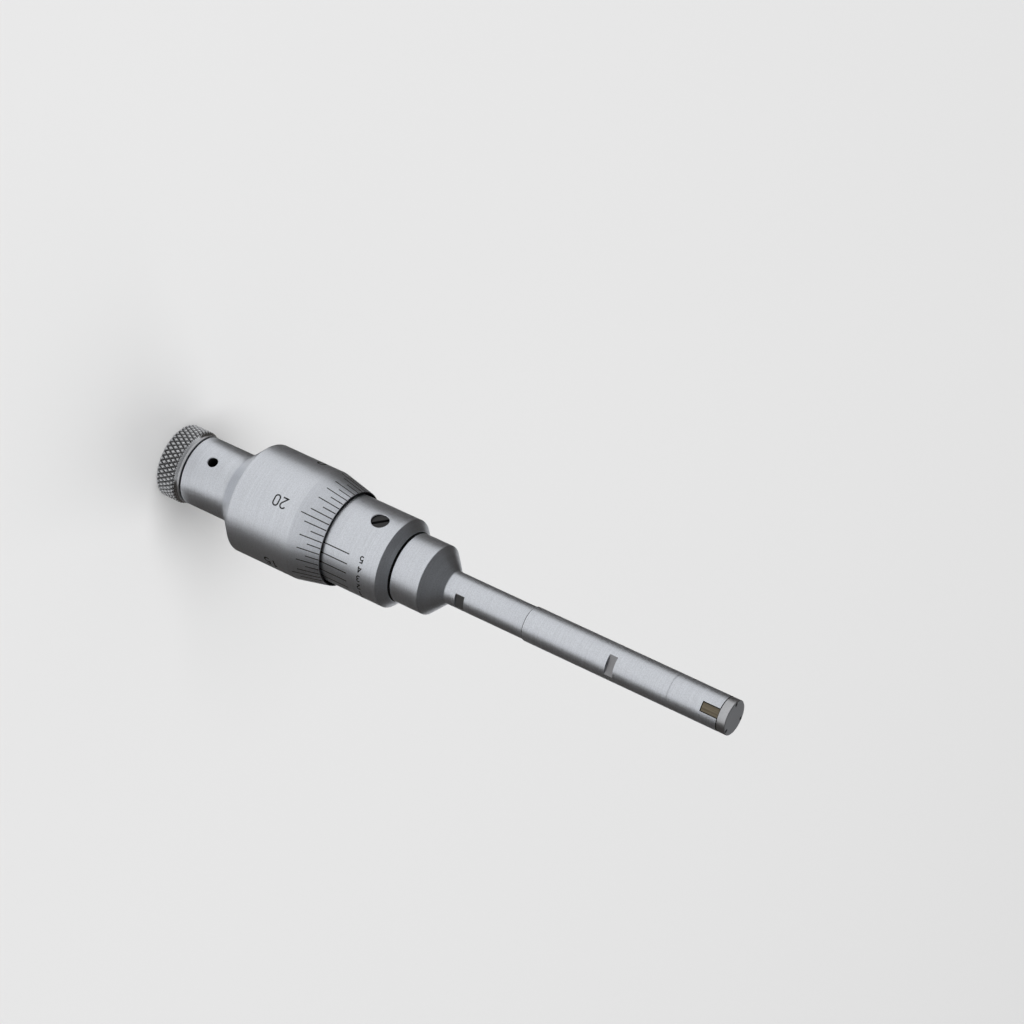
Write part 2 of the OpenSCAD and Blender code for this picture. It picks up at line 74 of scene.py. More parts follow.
def gridFaces(rows, columns, wrapRows, wrapColumns):
    # Four neighbouring points of the grid make a face; a wrapped direction closes on itself.
    row = np.arange(rows if wrapRows else rows - 1)[:, None]
    column = np.arange(columns if wrapColumns else columns - 1)[None, :]
    down, right = (row + 1) % rows, (column + 1) % columns
    quads = [row * columns + column, row * columns + right, down * columns + right, down * columns + column]
    return np.stack(np.broadcast_arrays(*quads), axis=-1)


def makeObject(name, points, faces, sharp, inside=None):
    # The numbers in "inside" give each face its place in the list of materials.
    mesh = bpy.data.meshes.new(name)
    mesh.from_pydata(points.reshape(-1, 3).tolist(), [], faces)
    mesh.polygons.foreach_set("use_smooth", np.ones(len(mesh.polygons), bool))
    if inside is not None:
        mesh.polygons.foreach_set("material_index", np.asarray(inside, np.int32))
    shell = bmesh.new()
    shell.from_mesh(mesh)
    bmesh.ops.recalc_face_normals(shell, faces=shell.faces)
    shell.to_mesh(mesh)
    shell.free()
    mesh.set_sharp_from_angle(angle=math.radians(sharp))
    mesh.update()
    piece = bpy.data.objects.new(name, mesh)
    bpy.context.scene.collection.objects.link(piece)
    return piece


def dress(piece, body, material, nodes=(), others=()):
    for each in (material, *others):
        piece.data.materials.append(each)
    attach(piece, body)
    if nodes:
        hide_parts(*nodes)


def roundCorner(before, corner, after, radius, steps=5):
    # A quadratic curve from one leg of the corner to the other stands for a small turned radius.
    toBefore, toAfter = before - corner, after - corner
    reach = min(radius, 0.45 * np.linalg.norm(toBefore), 0.45 * np.linalg.norm(toAfter))
    start = corner + toBefore / np.linalg.norm(toBefore) * reach
    end = corner + toAfter / np.linalg.norm(toAfter) * reach
    t = np.linspace(0, 1, steps)[:, None]
    return (1 - t) ** 2 * start + 2 * t * (1 - t) * corner + t**2 * end


def outline(corners):
    # Corners are (station, radius, rounding) round a closed section.
    spots = np.array([c[:2] for c in corners], float)
    pieces = []
    for k, (_, _, rounding) in enumerate(corners):
        if rounding > 0:
            pieces.append(roundCorner(spots[k - 1], spots[k], spots[(k + 1) % len(spots)], rounding))
        else:
            pieces.append(spots[k : k + 1])
    return np.concatenate(pieces)


def evenAngles(start=0.0, count=240):
    return start + np.arange(count) * 360.0 / count


def flatAngles(flat, radius):
    # Even columns, moved so that columns also fall on the edges of the two flats.
    half = math.degrees(math.acos(flat["across"] / 2 / radius))
    edges = np.array([-half, half, 180 - half, 180 + half]) + flat["angle"]
    shares = np.concatenate([np.linspace(0, 1, n, endpoint=False) for n in flat["columns"]])
    spans = np.repeat(np.diff(np.append(edges, edges[0] + 360)), flat["columns"])
    return np.repeat(edges, flat["columns"]) + shares * spans


def cutFlats(stations, radii, angles, flat):
    # Two flats across a round bar: the radius is the smaller of the bar's and that of the flat's line.
    turned = np.radians(angles - flat["angle"])
    reach = flat["across"] / 2 / np.maximum(np.abs(np.cos(turned)), 1e-3)
    inside = (stations > flat["start"]) & (stations < flat["start"] + flat["length"])
    return np.where(inside, np.minimum(radii, reach), radii)


def turnedGrid(section, angles):
    # A closed section carried round the axis: radius and station by row, angle by column.
    stations, across = np.broadcast_arrays(section[:, :1], angles)
    return stations, np.broadcast_to(section[:, 1:], across.shape), across


def flatCells(cut):
    # A cell belongs to a flat if a corner of its upper side and one of its lower side are cut back.
    upper = (cut > tiny) | (np.roll(cut, -1, axis=1) > tiny)
    return upper & np.roll(upper, -1, axis=0)


def makeTurned(name, section, angles, flat, darkRows, sharp=25):
    # The turned grid with two flats; its materials are the skin's, a painted shade for gaps, and the flats'
    # milled steel painted darker as shade.
    stations, plain, across = turnedGrid(section, angles)
    radii = cutFlats(stations, plain, across, flat)
    faces = gridFaces(len(section), len(angles), True, True).reshape(-1, 4)
    inside = np.zeros(plain.shape, int)
    inside[darkRows] = 1
    inside = np.where(flatCells(plain - radii), 2, inside)
    return makeObject(name, place(stations, radii, across), faces.tolist(), sharp, inside.ravel())


def makeDrilled(name, section, hole, darkRows=(), sharp=25):
    # The turned skin with a block of its grid replaced by a patch that closes in on a round hole.
    # The first column runs through the hole's middle, so the block lies evenly on both sides of it.
    angles = evenAngles(hole["angle"])
    rows, columns = len(section), len(angles)
    points = place(*turnedGrid(section, angles)).reshape(-1, 3)
    faces = gridFaces(rows, columns, True, True)
    onSkin = np.isclose(section[:, 1], hole["surface"], atol=1e-4)
    near = onSkin & (np.abs(section[:, 0] - hole["station"]) <= hole["margin"] + tiny)
    first, last = np.flatnonzero(near)[[0, -1]]
    half = math.ceil(hole["margin"] / (hole["surface"] * math.radians(360.0 / columns)))
    keep = np.ones((rows, columns), bool)
    keep[np.ix_(np.arange(first, last), np.arange(-half, half) % columns)] = False
    tall, wide = last - first, 2 * half
    borderRow = np.concatenate([
        np.full(wide, first), np.arange(first, last), np.full(wide, last), np.arange(last, first, -1),
    ])
    borderColumn = np.concatenate([
        np.arange(-half, half), np.full(tall, half), np.arange(half, -half, -1), np.full(tall, -half),
    ])
    along = section[borderRow, 0] - hole["station"]
    across = hole["surface"] * np.sin(np.radians(borderColumn * 360.0 / columns))
    edge = np.stack([along, across], axis=-1)
    heading = np.arctan2(across, along)
    circle = np.stack([np.cos(heading), np.sin(heading)], axis=-1)
    # Rings run from the block's edge to the rim, then down the chamfer and the wall to the floor.
    blend = np.linspace(0, 1, 6)[1:, None, None]
    flats = edge + ((hole["diameter"] / 2 + hole["chamfer"]) * circle - edge) * blend
    lean = np.degrees(np.arcsin(flats[..., 1] / hole["surface"]))
    skin = place(flats[..., 0] + hole["station"], hole["surface"], lean + hole["angle"])
    bore = hole["diameter"] / 2 * circle
    wallTop = np.sqrt(hole["surface"] ** 2 - bore[:, 1] ** 2) - hole["chamfer"]
    bottom = np.full(len(bore), hole["surface"] - hole["depth"])
    flatRings = np.stack([bore, bore, bore * 0.5])
    levels = np.stack([wallTop, bottom, bottom])
    lean = np.degrees(np.arctan2(flatRings[..., 1], levels))
    reach = np.hypot(flatRings[..., 1], levels)
    wall = place(flatRings[..., 0] + hole["station"], reach, lean + hole["angle"])
    patch = np.concatenate([skin, wall])
    count = len(heading)
    index = rows * columns + np.arange(len(patch) * count).reshape(-1, count)
    index = np.concatenate([(borderRow * columns + borderColumn % columns)[None, :], index])
    after = np.roll(index, -1, axis=1)
    patchFaces = np.stack([index[:-1], after[:-1], after[1:], index[1:]], axis=-1).reshape(-1, 4)
    everyFace = faces[keep].tolist() + patchFaces.tolist() + [index[-1].tolist()]
    # The rows listed in darkRows, and the hole's wall and floor, take the second material: painted shade.
    darkSkin = np.zeros((rows, columns), bool)
    darkSkin[list(darkRows)] = True
    darkPatch = np.repeat(np.arange(len(patch)) >= len(skin) + 1, count)
    inside = np.concatenate([darkSkin[keep], darkPatch, [True]])
    return makeObject(name, np.concatenate([points, patch.reshape(-1, 3)]), everyFace, sharp, inside)


def newMaterial(name):
    material = bpy.data.materials.new(name)
    material.use_nodes = True
    return material, material.node_tree, material.node_tree.nodes["Principled BSDF"]


def addNode(tree, kind, **values):
    node = tree.nodes.new(kind)
    for key, value in values.items():
        node.inputs[key.replace("_", " ")].default_value = value
    return node


def mixColors(tree, factor, low, high):
    # The two colours may be plain values or the outputs of other nodes.
    node = tree.nodes.new("ShaderNodeMix")
    node.data_type = "RGBA"
    tree.links.new(factor, node.inputs["Factor"])
    for socket, value in ((node.inputs[6], low), (node.inputs[7], high)):
        if isinstance(value, tuple):
            socket.default_value = (*value, 1)
        else:
            tree.links.new(value, socket)
    return node.outputs[2]


def makeMetal(name, look):
    # Grain is an even fine noise; streaks are noise drawn out round the axis, as a lathe leaves them,
    # or along the axis where a piece is ground lengthwise.
    material, tree, shader = newMaterial(name)
    shader.inputs["Metallic"].default_value = 1.0
    objectPlace = tree.nodes.new("ShaderNodeTexCoord")
    grain = addNode(tree, "ShaderNodeTexNoise", Scale=look["grainScale"], Detail=3.0, Roughness=0.6)
    tree.links.new(objectPlace.outputs["Object"], grain.inputs["Vector"])
    squeeze = addNode(tree, "ShaderNodeMapping", Scale=look.get("squeeze", (0.02, 0.02, 1.0)))
    tree.links.new(objectPlace.outputs["Object"], squeeze.inputs["Vector"])
    streak = addNode(tree, "ShaderNodeTexNoise", Scale=look["streakScale"], Detail=2.0, Roughness=0.5)
    tree.links.new(squeeze.outputs["Vector"], streak.inputs["Vector"])
    both = tree.nodes.new("ShaderNodeMix")
    both.data_type = "FLOAT"
    both.inputs["Factor"].default_value = look["streakShare"]
    tree.links.new(grain.outputs["Fac"], both.inputs["A"])
    tree.links.new(streak.outputs["Fac"], both.inputs["B"])
    dark, light = (tuple(c * (1 + side * look["tone"]) for c in look["color"]) for side in (-1, 1))
    grainColor = mixColors(tree, both.outputs["Result"], dark, light)
    # Where a look gives a groove colour, the knurl's grooves are painted darker towards their bottoms:
    # painted shade.
    if "valley" in look:
        height = tree.nodes.new("ShaderNodeAttribute")
        height.attribute_name = "knurlHeight"
        grainColor = mixColors(tree, height.outputs["Fac"], look["valley"], grainColor)
    tree.links.new(grainColor, shader.inputs["Base Color"])
    spread = addNode(tree, "ShaderNodeMapRange", To_Min=look["roughness"][0], To_Max=look["roughness"][1])
    tree.links.new(both.outputs["Result"], spread.inputs["Value"])
    tree.links.new(spread.outputs["Result"], shader.inputs["Roughness"])
    bump = addNode(tree, "ShaderNodeBump", Strength=look["bump"], Distance=look["bumpDepth"] * mm)
    tree.links.new(both.outputs["Result"], bump.inputs["Height"])
    tree.links.new(bump.outputs["Normal"], shader.inputs["Normal"])
    return material


satinChrome = makeMetal("satinChrome", {
    "color": (0.73, 0.755, 0.8), "tone": 0.38, "roughness": (0.32, 0.5), "grainScale": 4200.0,
    "streakScale": 4200.0, "streakShare": 0.3, "bump": 0.45, "bumpDepth": 0.03,
})
# Steel for the milled flats, its colour painted darker as shade.
milledSteelPaintedShade = makeMetal("milledSteelPaintedShade", {
    "color": (0.3, 0.3, 0.31), "tone": 0.2, "roughness": (0.32, 0.46), "grainScale": 3600.0,
    "streakScale": 5200.0, "streakShare": 0.6, "bump": 0.3, "bumpDepth": 0.02,
})
# Its groove colour is the painted shade in the knurl's grooves.
knurledSteel = makeMetal("knurledSteel", {
    "color": (0.72, 0.73, 0.745), "valley": (0.03, 0.03, 0.031), "tone": 0.1, "roughness": (0.14, 0.26),
    "grainScale": 4200.0, "streakScale": 3000.0, "streakShare": 0.2, "bump": 0.15, "bumpDepth": 0.02,
})
groundSteel = makeMetal("groundSteel", {
    "color": (0.56, 0.57, 0.59), "tone": 0.1, "roughness": (0.22, 0.34), "grainScale": 3000.0,
    "streakScale": 5000.0, "streakShare": 0.6, "bump": 0.15, "bumpDepth": 0.02,
})
capSteel = makeMetal("capSteel", {
    "color": (0.54, 0.545, 0.56), "tone": 0.25, "roughness": (0.3, 0.44), "grainScale": 4200.0,
    "streakScale": 5000.0, "streakShare": 0.3, "bump": 0.3, "bumpDepth": 0.02,
})
carbide = makeMetal("carbide", {
    "color": (0.17, 0.145, 0.105), "tone": 0.95, "roughness": (0.28, 0.42), "grainScale": 3600.0,
    "streakScale": 2600.0, "streakShare": 0.9, "squeeze": (1.0, 1.0, 0.04), "bump": 0.4, "bumpDepth": 0.04,
})
bronze = makeMetal("bronze", {
    "color": (0.5, 0.36, 0.18), "tone": 0.1, "roughness": (0.3, 0.42), "grainScale": 3000.0,
    "streakScale": 3000.0, "streakShare": 0.4, "bump": 0.1, "bumpDepth": 0.02,
})
springSteel = makeMetal("springSteel", {
    "color": (0.44, 0.45, 0.47), "tone": 0.1, "roughness": (0.25, 0.36), "grainScale": 3000.0,
    "streakScale": 3000.0, "streakShare": 0.2, "bump": 0.1, "bumpDepth": 0.02,
})


def makePaint(name, look):
    material, _, shader = newMaterial(name)
    shader.inputs["Base Color"].default_value = (*look["color"], 1)
    shader.inputs["Roughness"].default_value = look["roughness"]
    shader.inputs["Specular IOR Level"].default_value = look["specular"]
    return material


# A dull black without gloss, laid on gaps, hole walls, window walls and joints: painted shade.
paintedShadeBlack = makePaint("paintedShadeBlack", {"color": (0.012, 0.012, 0.012), "roughness": 1.0, "specular": 0.0})
blackSteel = makePaint("blackSteel", {"color": (0.012, 0.012, 0.013), "roughness": 0.42, "specular": 0.5})
ink = makePaint("ink", {"color": (0.009, 0.009, 0.01), "roughness": 0.6, "specular": 0.3})
print("materials: ready")

slotMaterials = {
    "satin_chrome": satinChrome, "knurled_steel": knurledSteel, "ground_steel": groundSteel,
    "black_steel": blackSteel, "cap_steel": capSteel, "carbide": carbide, "bronze": bronze,
    "spring_steel": springSteel,
}
for row in frame["record"]["subparts"]:
    node = frame["nodes"][row["node"]]
    node.data.materials.clear()
    node.data.materials.append(slotMaterials[row["material_slot"]])
print("CAD nodes: finished")

thimble = {
    "neck": 7.6, "neckEnd": 11.31, "fillet": 1.0, "shoulder": 15.91, "drum": 12.2, "drumEnd": 31.4,
    "edge": 38.8, "lip": 10.6, "mouth": 10.3, "mouthStart": 35.8, "bore": 9.95, "floor": 15.0, "tail": 4.0,
}
spannerHole = {
    "station": 5.5, "angle": -23.0, "surface": 7.6, "diameter": 2.2, "depth": 3.2,
    "chamfer": 0.14, "margin": 2.2,
}
neckRows = [
    (spannerHole["station"] + d, thimble["neck"], 0) for d in np.linspace(-1, 1, 9) * spannerHole["margin"]
]
thimbleSection = outline(
    [(0, thimble["tail"], 0), (0, thimble["neck"], 0.15)]
    + neckRows
    + [
        (thimble["neckEnd"], thimble["neck"], thimble["fillet"]),
        (thimble["shoulder"], thimble["drum"], 0.14),
        (thimble["drumEnd"], thimble["drum"], 0.12),
        (thimble["edge"], thimble["lip"], 0.06),
        (thimble["edge"], thimble["mouth"], 0),
        (thimble["mouthStart"], thimble["mouth"], 0),
        (thimble["mouthStart"], thimble["bore"], 0),
        (thimble["floor"], thimble["bore"], 0),
        (thimble["floor"], thimble["tail"], 0),
    ]
)
# The thimble's end face and the mouth inside it take the painted shade of the gap at the sleeve.
edgeRows = np.flatnonzero(np.isclose(thimbleSection[:, 0], thimble["edge"]))
mouthRows = np.arange(edgeRows[0], len(thimbleSection) - 2)
thimbleSkin = makeDrilled("thimbleSkin", thimbleSection, spannerHole, mouthRows)
dress(thimbleSkin, "thimble", satinChrome, ["thimble"], [paintedShadeBlack])
print("thimble: rows", len(thimbleSection))

sleeve = {"start": 19.0, "end": 54.2, "outer": 9.85, "bore": 6.5, "chamferStart": 52.4, "face": 7.9}
screwHole = {
    "station": 47.5, "angle": -4.0, "surface": 9.85, "diameter": 3.8, "depth": 3.35,
    "chamfer": 0.12, "margin": 3.2,
}
sleeveRows = [
    (screwHole["station"] + d, sleeve["outer"], 0) for d in np.linspace(-1, 1, 11) * screwHole["margin"]
]
sleeveSection = outline(
    [(sleeve["start"], sleeve["bore"], 0), (sleeve["start"], sleeve["outer"], 0.1)]
    + sleeveRows
    + [
        (sleeve["chamferStart"], sleeve["outer"], 0.12),
        (sleeve["end"], sleeve["face"], 0.1),
        (sleeve["end"], sleeve["bore"], 0),
    ]
)
# The sleeve's end face by the collar takes the painted shade of the gap.
sleeveSkin = makeDrilled("sleeveSkin", sleeveSection, screwHole, [len(sleeveSection) - 2])
dress(sleeveSkin, "barrel", satinChrome, ["sleeve"], [paintedShadeBlack])
print("sleeve: rows", len(sleeveSection))

stem = {
    "tailStart": 40.0, "tail": 6.48, "groove": 7.3, "grooveStart": 54.2, "collarStart": 54.7, "collar": 7.7,
    "collarEnd": 61.4, "start": 65.3, "radius": 3.6, "end": 84.6, "spigot": 2.7, "spigotEnd": 89.6,
    "nutBore": 3.2, "nutEnd": 46.0, "springBore": 2.7, "springSeat": 70.0, "rodBore": 1.55,
    "bushStart": 85.6, "bush": 2.05, "grooveRows": [2, 3, 4], "edgeRows": 5, "edge": 0.1,
}
stemFlat = {"start": 68.0, "length": 2.2, "across": 6.4, "angle": -84.0, "columns": [24, 52, 24, 52]}


def wallPair(station, radius, half=0.004):
    # Two rows close together, between which a flat drops steeply.
    return [(station - half, radius, 0), (station + half, radius, 0)]


stemSection = outline(
    [
        (stem["tailStart"], stem["nutBore"], 0),
        (stem["tailStart"], stem["tail"], 0),
        (stem["grooveStart"], stem["tail"], 0),
        (stem["grooveStart"], stem["groove"], 0),
        (stem["collarStart"], stem["groove"], 0),
        (stem["collarStart"], stem["collar"], 0.14),
        (stem["collarEnd"], stem["collar"], 0.14),
        (stem["start"], stem["radius"], 0.25),
    ]
    + wallPair(stemFlat["start"], stem["radius"])
    + wallPair(stemFlat["start"] + stemFlat["length"], stem["radius"])
    + [
        (stem["end"], stem["radius"], 0.16),
        (stem["end"], stem["spigot"], 0),
        (stem["spigotEnd"], stem["spigot"], 0),
        (stem["spigotEnd"], stem["bush"], 0),
        (stem["bushStart"], stem["bush"], 0),
        (stem["bushStart"], stem["rodBore"], 0),
        (stem["springSeat"], stem["rodBore"], 0),
        (stem["springSeat"], stem["springBore"], 0),
        (stem["nutEnd"], stem["springBore"], 0),
        (stem["nutEnd"], stem["nutBore"], 0),
    ]
)
stemAngles = flatAngles(stemFlat, stem["radius"])
# The groove by the sleeve and the rounded end by the head take the painted shade of these gaps.
stemEnd = np.flatnonzero(stemSection[:, 0] > stem["end"] - stem["edge"])[: stem["edgeRows"]]
stemSkin = makeTurned("stemSkin", stemSection, stemAngles, stemFlat, np.append(stem["grooveRows"], stemEnd))
dress(stemSkin, "barrel", satinChrome, ["stem"], [paintedShadeBlack, milledSteelPaintedShade])
print("stem: rows", len(stemSection))

coil = {
    "start": 61.0, "end": 70.0, "radius": 2.15, "wire": 0.5, "turns": 6, "stepsPerTurn": 40, "sides": 16,
}


def makeCoil():
    # A circle carried along a helix: the angle and the station grow evenly along the wire.
    share = np.linspace(0, 1, coil["turns"] * coil["stepsPerTurn"] + 1)[:, None]
    around = np.radians(np.arange(coil["sides"]) * 360.0 / coil["sides"])[None, :]
    middle = coil["start"] + coil["wire"] / 2 + (coil["end"] - coil["start"] - coil["wire"]) * share
    stations = middle + coil["wire"] / 2 * np.sin(around)
    radii = coil["radius"] + coil["wire"] / 2 * np.cos(around)
    points = place(stations, radii, share * coil["turns"] * 360.0)
    faces = gridFaces(len(share), coil["sides"], False, True).reshape(-1, 4).tolist()
    ends = np.arange(coil["sides"])
    faces += [ends.tolist(), (ends + (len(share) - 1) * coil["sides"]).tolist()]
    return makeObject("returnSpring", points, faces, 40)


# The spring is pressed together between the rod's collar and its seat in the stem.
returnSpring = makeCoil()
returnSpring.data.materials.append(springSteel)
seatPoint = place(coil["end"] - coil["wire"], 0.0, 0.0).tolist()
collarPoint = place(coil["start"] + coil["wire"], 0.0, 0.0).tolist()
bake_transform(returnSpring)
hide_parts("return_spring")
print("spring: turns", coil["turns"])

head = {
    "start": 84.6, "end": 130.9, "radius": 3.8, "socket": 2.72, "socketEnd": 89.6, "bore": 2.65,
    "boreStart": 118.9, "rodBore": 1.65, "mark": 119.2, "markWidth": 0.1, "markDepth": 0.03,
    "seamRows": 4, "sharp": 14,
}
headFlat = {"start": 104.6, "length": 1.9, "across": 6.2, "angle": -60.0}
window = {"count": 3, "angle": -51.0, "width": 2.2, "rear": 126.8, "columns": 10, "between": 108}

markRows = [
    (head["mark"] + head["markWidth"] * share, head["radius"] - head["markDepth"] * deep, 0)
    for share, deep in ((-1, 0), (-0.4, 1), (0.4, 1), (1, 0))
]
headSection = outline(
    [(head["start"], head["socket"], 0), (head["start"], head["radius"], 0.18)]
    + wallPair(headFlat["start"], head["radius"])
    + wallPair(headFlat["start"] + headFlat["length"], head["radius"])
    + markRows
    + [
        (window["rear"], head["radius"], 0),
        (head["end"], head["radius"], 0.2),
        (head["end"], head["bore"], 0),
        (window["rear"], head["bore"], 0),
        (head["boreStart"], head["bore"], 0),
        (head["boreStart"], head["rodBore"], 0),
        (head["socketEnd"], head["rodBore"], 0),
        (head["socketEnd"], head["socket"], 0),
    ]
)


def windowAngles(radii):
    # Columns are spread so that the sides of each window stay parallel at every radius.
    half = np.degrees(np.arcsin(window["width"] / 2 / radii))
    sector = 360.0 / window["count"]
    across = half * np.linspace(-1, 1, window["columns"], endpoint=False)
    between = half + (sector - 2 * half) * np.linspace(0, 1, window["between"], endpoint=False)
    one = np.concatenate([across, between], axis=1) + window["angle"]
    return np.concatenate([one + sector * k for k in range(window["count"])], axis=1)


def makeHead():
    # The tube's grid without the cells of the windows, whose rear and side walls join the skin to the bore.
    rows = len(headSection)
    angles = windowAngles(headSection[:, 1:])
    columns = angles.shape[1]
    stations, plain = (np.broadcast_to(headSection[:, k : k + 1], angles.shape) for k in (0, 1))
    radii = cutFlats(stations, plain, angles, headFlat)
    faces = gridFaces(rows, columns, True, True)
    front, rear = np.flatnonzero(np.isclose(headSection[:, 0], window["rear"]))
    lefts = np.arange(window["count"]) * (columns // window["count"])
    cells = (lefts[:, None] + np.arange(window["columns"])).ravel()
    keep = np.ones((rows, columns), bool)
    keep[np.ix_(np.arange(front, rear), cells)] = False
    rowNumber = np.arange(rows)[:, None]
    # The seam rows at the start, and the rounded end by the cap with the faces beyond it, take the painted
    # shade of the joints.
    dark = (rowNumber < head["seamRows"]) | (rowNumber > front)
    inside = np.where(flatCells(plain - radii), 2, dark * 1)
    outer, inner = front * columns + cells, rear * columns + cells
    rearWall = np.stack([outer, outer + 1, inner + 1, inner], axis=-1)
    sideRows = np.arange(front, rear + 1) * columns
    sideWalls = [(sideRows + column).tolist() for column in (*lefts, *(lefts + window["columns"]))]
    everyFace = faces[keep].tolist() + rearWall.tolist() + sideWalls
    # The windows' rear and side walls take the painted shade too.
    marks = np.concatenate([inside[keep], np.ones(len(rearWall) + len(sideWalls), int)])
    return makeObject("headSkin", place(stations, radii, angles), everyFace, head["sharp"], marks)


headSkin = makeHead()
dress(headSkin, "barrel", satinChrome, ["head_body"], [paintedShadeBlack, milledSteelPaintedShade])
print("head: rows", len(headSection))

knob = {
    "gap": -0.35, "ring": 7.7, "ringEnd": -0.85, "coneEnd": -1.95, "radius": 8.2, "bandEnd": -5.84,
    "end": -6.0, "endRadius": 8.02, "recess": 3.25, "recessFloor": -4.8, "bore": 1.55, "floor": -3.6,
    "cup": 5.3, "runOut": 0.02,
}
knurl = {"count": 46, "rows": 84, "depth": 0.27, "columns": 552, "pitch": 1.94, "groove": 0.4}


def knurlHeight(stations, angles):
    # Two families of helical grooves cross; each groove is a rounded V, and the deeper one counts.
    around = angles / 360.0 * knurl["count"]
    along = (stations - knob["bandEnd"]) / knurl["pitch"]
    offsets = np.stack([around + along, around - along])
    distance = np.abs(offsets - np.round(offsets))
    grooves = np.clip(1 - distance / knurl["groove"], 0, 1)
    deepest = grooves.max(axis=0)
    return -knurl["depth"] * deepest * deepest * (3 - 2 * deepest)


# The knurled cylinder is cut back by a smooth cone next to the plain ring: the smaller radius counts.
bandStations = np.linspace(knob["ringEnd"] - knob["runOut"], knob["bandEnd"], knurl["rows"])[:, None]
knobAngles = evenAngles(0.0, knurl["columns"])
grooved = knurlHeight(bandStations, knobAngles)
coneShare = (bandStations - knob["ringEnd"]) / (knob["coneEnd"] - knob["ringEnd"])
cone = knob["ring"] + (knob["radius"] - knob["ring"]) * coneShare
bandRadii = np.minimum(knob["radius"] + grooved, cone)
# The height share is 1 on the tops and falls to 0 at a groove's bottom; it sets the painted shade in the
# grooves.
bandShadeShare = np.where(knob["radius"] + grooved > cone, 1.0, 1 + grooved / knurl["depth"])
knobBefore = outline([
    (knob["recessFloor"], knob["bore"], 0),
    (knob["floor"], knob["bore"], 0),
    (knob["floor"], knob["cup"], 0),
    (knob["gap"], knob["cup"], 0),
    (knob["gap"], knob["ring"], 0.1),
    (knob["ringEnd"], knob["ring"], 0),
])
knobAfter = outline([
    (knob["end"], knob["endRadius"], 0),
    (knob["end"], knob["recess"], 0.1),
    (knob["recessFloor"], knob["recess"], 0),
])


def knobRows(*parts):
    # Rows before, on and after the knurl, each spread over all columns.
    return np.concatenate([np.broadcast_to(part, (len(part), knurl["columns"])) for part in parts])


knobStations = knobRows(knobBefore[:, :1], bandStations, knobAfter[:, :1])
knobRadii = knobRows(knobBefore[:, 1:], bandRadii, knobAfter[:, 1:])
knurlShadeShare = knobRows(np.ones((len(knobBefore), 1)), bandShadeShare, np.ones((len(knobAfter), 1)))
knobFaces = gridFaces(len(knobStations), knurl["columns"], True, True).reshape(-1, 4).tolist()
plainRows = np.arange(len(knobStations)) < len(knobBefore)
plainFaces = np.repeat(plainRows, knurl["columns"])
knobSkin = makeObject("knobSkin", place(knobStations, knobRadii, knobAngles), knobFaces, 40, plainFaces)
# The height share is stored on the points for the painted groove shade.
knurlValues = knobSkin.data.attributes.new("knurlHeight", "FLOAT", "POINT")
knurlValues.data.foreach_set("value", knurlShadeShare.ravel())
dress(knobSkin, "knob", knurledSteel, ["knob"], [capSteel])
print("knob: quads", len(knobFaces))

strokes = {"height": 0.012, "sink": 0.05, "step": 0.12}


def refine(path, closed):
    # Points are added along each stroke, so that it follows the round surface.
    path = np.vstack([path, path[:1]]) if closed else path
    lengths = np.append(0, np.cumsum(np.linalg.norm(np.diff(path, axis=0), axis=1)))
    even = np.linspace(0, lengths[-1], math.ceil(lengths[-1] / strokes["step"]) + 1)
    every = np.union1d(np.round(lengths, 6), np.round(even, 6))
    every = every[np.append(True, np.diff(every) > strokes["step"] * 0.05)]
    fine = np.stack([np.interp(every, lengths, path[:, k]) for k in (0, 1)], axis=-1)
    return fine[:-1] if closed else fine


def ribbon(path, width, closed, toSurface):
    # A flat rectangle carried along a path on the unrolled surface, mitred at its corners, then wrapped.
    path = refine(path, closed)
    ends = path[:1] if closed else 2 * path[-1:] - path[-2:-1]
    run = np.diff(np.vstack([path, ends]), axis=0)
    run = run / np.linalg.norm(run, axis=1, keepdims=True)
    leaving = np.stack([-run[:, 1], run[:, 0]], axis=-1)
    arriving = np.roll(leaving, 1, axis=0)
    if not closed:
        arriving[0] = leaving[0]
    mitre = 1 + np.sum(leaving * arriving, axis=1, keepdims=True)
    normal = (leaving + arriving) / np.maximum(mitre, 0.45) * width / 2
    low, high = -strokes["sink"], strokes["height"]
    corners = [
        toSurface(path - normal, low), toSurface(path + normal, low),
        toSurface(path + normal, high), toSurface(path - normal, high),
    ]
    grid = np.stack(corners, axis=1)
    faces = gridFaces(len(path), 4, closed, True).reshape(-1, 4)
    if not closed:
        last = 4 * (len(path) - 1)
        faces = np.vstack([faces, [0, 1, 2, 3], [last + 3, last + 2, last + 1, last]])
    return grid.reshape(-1, 3), faces


def gather(name, ribbons, body):
    # All ribbons of a scale become one piece.
    starts = np.cumsum([0] + [len(grid) for grid, _ in ribbons])
    faces = np.concatenate([quads + start for (_, quads), start in zip(ribbons, starts)])
    piece = makeObject(name, np.concatenate([grid for grid, _ in ribbons]), faces.tolist(), 30)
    dress(piece, body, ink)


def arc(centre, size, fromAngle, toAngle, count=15):
    # Points on an ellipse between two angles.
    turn = np.radians(np.linspace(fromAngle, toAngle, count))
    return np.stack([centre[0] + size[0] * np.cos(turn), centre[1] + size[1] * np.sin(turn)], axis=-1)


